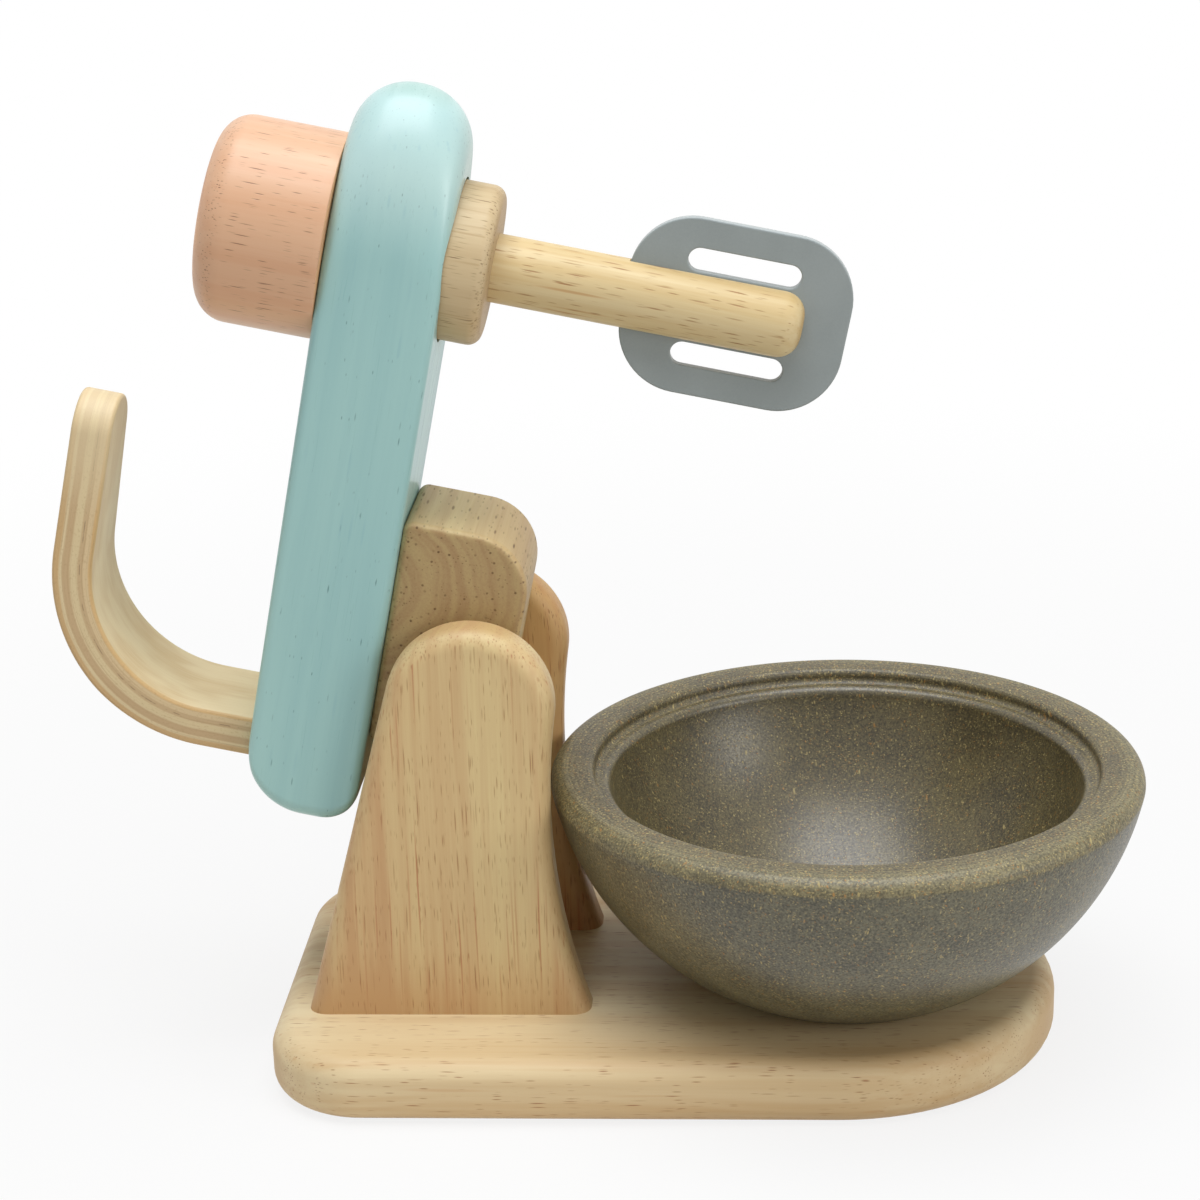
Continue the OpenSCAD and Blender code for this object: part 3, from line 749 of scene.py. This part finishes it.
def plywood(start):
    strip = start.carried("strip", "Vector")
    along = strip.split()
    depth = along.other(2) * (1 / handle_t) + 0.5 + (strip.stretched(0.12, 0.3, 0.2).noise() - 0.5) * 0.05
    stops = [(place, tint(*rgb)) for first, last, rgb in PLIES for place in (first, last)]
    ply = start.node("ValToRGB", {"stops": stops}, {0: depth})
    stub = strip.stretched(1.6, 1.6, 2.4).noise()
    fibre = strip.stretched(0.08, 2.2, 2.2).noise()
    cloud = strip.stretched(0.05, 0.12, 0.12).noise().ramped(0.35, 0.65)
    broken = strip.stretched(0.35, 0.4, 0.0).noise().ramped(0.48, 0.62)
    glue = (1 - start.math("ABSOLUTE", depth - GLUE_AT).ramped(0.004, 0.018)) * broken
    fine_lines = strip.stretched(0.03, 0.0, 3.2).noise(3).ramped(0.5, 0.72)
    side = (stub.ramped(0.52, 0.78) * 0.3).between(ply, tint(164, 130, 90))
    side = (glue * 0.6).between(side, tint(120, 96, 70))
    side = (fine_lines * 0.45).between(side, tint(176, 146, 106))
    # painted light: the sides turn paler towards the tip, which faces the overhead lamp
    side = (along.ramped(*PAINTED_LIGHT_TIP) * 0.6).between(side, tint(226, 209, 171))
    face = (cloud * 0.7 + (fibre - 0.5) * 0.8).between(tint(227, 207, 166), tint(210, 181, 134))
    colour = start.carried("side_cut").ramped(0.15, 0.6).between(face, side)
    return colour, 0.5 + (fibre - 0.5) * 0.2, fibre * 0.5 + stub * 0.4


plywood_finish = finish("bent_plywood", plywood, 0.05, **VARNISH)
set_piece(handle, "lift_handle", "head", plywood_finish, RAISED)

# %% [markdown]
# ## Bowl: the shape
# The bowl is turned or pressed, so it is one half profile spun round: a round wall on a small foot, a thick rim
# with a soft step and a ledge inside, and a hollow that is part of a ball.

# %% Bowl shape
bowl_r, bowl_h, foot_r, body_r, rim_round, rim_w = 67.5, 54.3, 25.0, 69.0, 3.5, 10.0
step_depth, step_round, step_fillet, ledge_w, lip = 3.5, 1.6, 1.4, 3.8, 2.0
bowl_floor, foot_ease = 5.0, 0.6
body_c = circle_meet((bowl_r, bowl_h - rim_round), body_r, (foot_r, 0), body_r)
step_r, ledge_z = bowl_r - rim_w, bowl_h - step_depth
ledge_r = step_r - ledge_w
depth = ledge_z - lip - bowl_floor
inner_r = (ledge_r ** 2 + depth ** 2) / (2 * depth)
foot_turn = math.degrees(math.atan2(-body_c.y, foot_r - body_c.x))
rim_turn = math.degrees(math.atan2(bowl_h - rim_round - body_c.y, bowl_r - body_c.x))
lip_turn = math.degrees(math.atan2(depth - inner_r, ledge_r))
profile = [(0, 0), (foot_r - foot_ease, 0)] + arc(body_c, body_r, foot_turn, rim_turn, 40)
profile += arc((bowl_r - rim_round, bowl_h - rim_round), rim_round, 0, 90, 12)
profile += arc((step_r + step_round, bowl_h - step_round), step_round, 90, 180, 8)
profile += arc((step_r - step_fillet, ledge_z + step_fillet), step_fillet, 0, -90, 8)
profile += arc((ledge_r + lip, ledge_z - lip), lip, 90, 180, 6)
profile += arc((0, bowl_floor + inner_r), inner_r, lip_turn, -90, 40)
bowl = solid("bowl_shell", *turned(profile, 160))
print("bowl profile points", len(profile))

# %% [markdown]
# ## Bowl: the pressed fibre
# The bowl is a dark mix of wood fibre and resin: an olive-grey ground, browner in the hollow, full of short straw
# and rust flecks, smooth enough for a soft shine. Flecks are stretched cells in six sizes, each size turned its
# own way so that no direction wins. The rim was turned after pressing: it is paler at its outer edge, and fine
# lathe lines run round it.

# %% Pressed fibre
FLECKS = (((0.0, 0.0, 0.0), 0.75, 0.44, 0.8), ((0.3, 0.2, 1.1), 0.62, 0.38, 0.8),
          ((1.2, 0.4, 2.3), 0.52, 0.30, 0.85), ((0.5, 1.3, 0.7), 0.44, 0.22, 0.85),
          ((1.6, 0.9, 1.8), 0.38, 0.17, 0.9), ((0.9, 1.7, 0.2), 0.3, 0.08, 0.9))
FLECK_SLIM = 3.4
HOLLOW, RIM_TOP, RIM_EDGE = (body_r - 5, body_r - 2), (ledge_z - 0.4, ledge_z + 0.2), (bowl_r - 7, bowl_r - 2)


def pressed_fibre(start):
    where = start.carried("grain", "Vector")
    x = where.split()
    y, z = x.other(1), x.other(2)
    radius = x.distance(y)
    inside = 1 - (radius - body_c.x).distance(z - body_c.y).ramped(*HOLLOW)
    rim_top = z.ramped(*RIM_TOP)
    rim_edge = rim_top * radius.ramped(*RIM_EDGE)
    lathe = (radius * 1.6 + z * 1.1).bands() - 0.5
    cloud = where.stretched(0.09, 0.09, 0.09).noise(3).ramped(0.3, 0.7)
    fine = where.stretched(1.9, 1.9, 1.9).noise(3) - 0.5
    shade = cloud * 0.35 + fine * 3.2 + 0.35 + rim_top * lathe * 1.2
    wall = shade.between(tint(108, 105, 81), tint(58, 56, 40))
    hollow = shade.between(tint(104, 94, 60), tint(54, 47, 26))
    edge = shade.between(tint(128, 120, 86), tint(76, 70, 46))
    colour = rim_edge.between(inside.between(wall, hollow), edge)
    flecks = 0.0
    for turn, fineness, share, depth in FLECKS:
        lain = start.node("VectorRotate", {"rotation_type": "EULER_XYZ"}, {"Vector": where, "Rotation": turn})
        cell = lain.stretched(fineness, fineness * FLECK_SLIM, fineness * FLECK_SLIM).cells()
        chance = start.node("SeparateColor", {}, {0: cell.other("Color")})
        chosen = (chance + rim_top * 0.2).ramped(1 - share, 1.06 - share)
        fleck = (1 - cell.ramped(0.12, 0.36)) * chosen * (0.2 + 0.8 * chance.other(2))
        straw = chance.other(1).ramped(0.68, 0.8).between(tint(182, 164, 108), tint(164, 116, 50))
        colour = (fleck * depth).between(colour, straw)
        flecks = fleck + flecks
    return colour, 0.38 + fine * 0.3 + flecks * 0.08 + rim_top * 0.14, fine + flecks * 0.4 + rim_top * lathe


bowl_fibre = finish("pressed_fibre", pressed_fibre, 0.04, **{"Specular IOR Level": 0.75})
set_piece(mark_grain(bowl, "x"), "bowl", "bowl", bowl_fibre, Matrix.Translation((bowl_x, 0, seat_z)))

# %% [markdown]
# ## Dowels and screws
# The dowels, the pin and the screws are simple turned things that hardly show, and their solids are right as they
# are. They keep their own meshes and only get a finish, read from the object's own coordinates: beech for the
# dowels, with the grain along each one, and zinc-plated steel for the screws.

# %% Hidden pieces
def in_mm(start):
    return start.node("TexCoord", out="Object").stretched(1 / MM, 1 / MM, 1 / MM)


def beech(along):
    def read(start):
        parts, facing = in_mm(start).split(), start.node("TexCoord", out="Normal").split()
        order = AXES[along]
        grain = start.node("CombineXYZ", {}, {i: parts.other(k) for i, k in enumerate(order)})
        return grain, start.math("ABSOLUTE", facing.other(order[0])).ramped(*FACING)
    return wood((230, 202, 156), (208, 172, 122), (200, 160, 112), (150, 106, 62), (186, 134, 84), read=read)


def zinc(start):
    place = in_mm(start)
    scratch = place.stretched(3.0, 3.0, 0.4).noise(3)
    bloom = place.stretched(0.7, 0.7, 0.7).noise().ramped(0.3, 0.7)
    return bloom.between(tint(196, 197, 194), tint(172, 174, 172)), 0.28 + scratch * 0.2, scratch


upright_beech = finish("beech_dowels", beech("z"), 0.04, **VARNISH)
cross_beech = finish("beech_pins", beech("y"), 0.04, **VARNISH)
plated_steel = finish("zinc_screws", zinc, 0.02, Metallic=1.0)
hidden = {"post_dowels": upright_beech, "block_dowels": upright_beech, "pivot_pin": cross_beech,
          "stop_dowel": cross_beech, "post_screws": plated_steel}
for node, material in hidden.items():
    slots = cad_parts[node].data.materials
    slots.clear()
    slots.append(material)
print("kept solids", sorted(hidden))

# %% [markdown]
# ## Floor
# The toy stands on a white paper sweep. The camera sees it mostly as plain white, with a little of its shading
# near the toy, so the shadow stays. Any other ray meets slightly warm paper, which throws a soft light up on the
# toy.

# %% Floor
sweep_half, sweep_drop = 2000, 0.3
white_near, white_more, white_over = 0.84, 0.16, (0.15, 0.6)


def seen_directly(start):
    path = start.node("LightPath")
    rays = path.other("Is Camera Ray") + path.other("Is Glossy Ray") + path.other("Is Transmission Ray")
    return start.math("MINIMUM", rays, 1.0)


corners = [(x * sweep_half, y * sweep_half, -sweep_drop) for x, y in ((-1, -1), (1, -1), (1, 1), (-1, 1))]
sweep = solid("sweep", corners, [(0, 1, 2, 3)])
sweep.data.transform(Matrix.Diagonal((MM, MM, MM, 1)))
paper = bpy.data.materials.new("paper")
start = blank(paper)
bounce = start.node("BsdfDiffuse", {}, {"Color": tint(227, 220, 211)})
shade = start.node("BsdfDiffuse", {}, {"Color": tint(222, 222, 222)})
glow = start.node("Emission", {}, {"Color": (1, 1, 1, 1), "Strength": 1.0})
away = start.node("VectorMath", {"operation": "LENGTH"}, {0: start.node("TexCoord", out="Object")}, "Value")
shown = start.node("MixShader", {}, {0: white_near + white_more * away.ramped(*white_over), 1: shade, 2: glow})
lit = start.node("MixShader", {}, {0: seen_directly(start), 1: bounce, 2: shown})
start.node("OutputMaterial", {}, {"Surface": lit})
sweep.data.materials.append(paper)
print("floor", sweep.name, "metres across", 2 * sweep_half * MM)

# %% [markdown]
# ## Background
# The world lights the toy softly and a little warmly from all round. To the camera and in reflections it is plain
# white, which is how the background gets white without more light on the toy.

# %% World
world = bpy.data.worlds.new("studio")
start = blank(world)
around = start.node("Background", {}, {"Color": (1.0, 0.93, 0.84, 1), "Strength": 0.25})
white = start.node("Background", {}, {"Color": (1, 1, 1, 1), "Strength": 1.0})
sky = start.node("MixShader", {}, {0: seen_directly(start), 1: around, 2: white})
start.node("OutputWorld", {}, {"Surface": sky})
bpy.context.scene.world = world
print("world", world.name)

# %% [markdown]
# ## Lamps
# Two soft boxes light the toy: one nearly overhead, a touch cool, and one low to the right in front, as the two
# bright patches in the bowl show. Their power is worked out from the light that should fall on the toy: for a box
# that shines evenly, power is light times pi times the distance squared.

# %% Lamps
toy_middle = Vector((0, 0, 0.09))


def soft_box(name, azimuth, elevation, distance, width, light, colour=(1, 1, 1)):
    lamp = bpy.data.lights.new(name, "AREA")
    lamp.shape, lamp.size, lamp.energy, lamp.color = "SQUARE", width, light * math.pi * distance ** 2, colour
    a, e = math.radians(azimuth), math.radians(elevation)
    way = Vector((math.sin(a) * math.cos(e), -math.cos(a) * math.cos(e), math.sin(e)))
    made = bpy.data.objects.new(name, lamp)
    made.location = toy_middle + distance * way
    made.rotation_euler = way.to_track_quat("Z", "Y").to_euler()
    bpy.context.scene.collection.objects.link(made)
    print(name, "watts", round(lamp.energy, 1))


soft_box("overhead_box", 0, 83, 1.3, 1.1, 3.6, (0.98, 1.0, 1.03))
soft_box("right_box", 59, 16, 1.3, 0.5, 0.75)

# %% [markdown]
# ## Camera
# A long lens looks slightly down on the toy from its side, a touch rolled, as the photograph was taken. Building
# the view directions from two angles and the roll is clearer than an Euler triple, and gives the matrix at once.

# %% Camera
azimuth, elevation, roll = math.radians(3.95), math.radians(18.95), math.radians(-1.73)
stands_at, film_mm, lens_mm = Vector((25.80, -577.48, 303.60)), 36.0, 81.558
level = Vector((math.cos(azimuth), math.sin(azimuth), 0))
look = Vector((-math.sin(azimuth) * math.cos(elevation), math.cos(azimuth) * math.cos(elevation), -math.sin(elevation)))
rise = level.cross(look)
right = math.cos(roll) * level + math.sin(roll) * rise
up = math.cos(roll) * rise - math.sin(roll) * level
lens = bpy.data.cameras.new("camera")
lens.sensor_fit, lens.sensor_width, lens.lens = "HORIZONTAL", film_mm, lens_mm
camera = bpy.data.objects.new("camera", lens)
camera.matrix_world = Matrix((right, up, -look)).transposed().to_4x4()
camera.location = stands_at * MM
bpy.context.scene.collection.objects.link(camera)
bpy.context.scene.camera = camera
bpy.context.scene.view_settings.view_transform = "Standard"
print("camera at", [round(v, 4) for v in camera.location])

# %% [markdown]
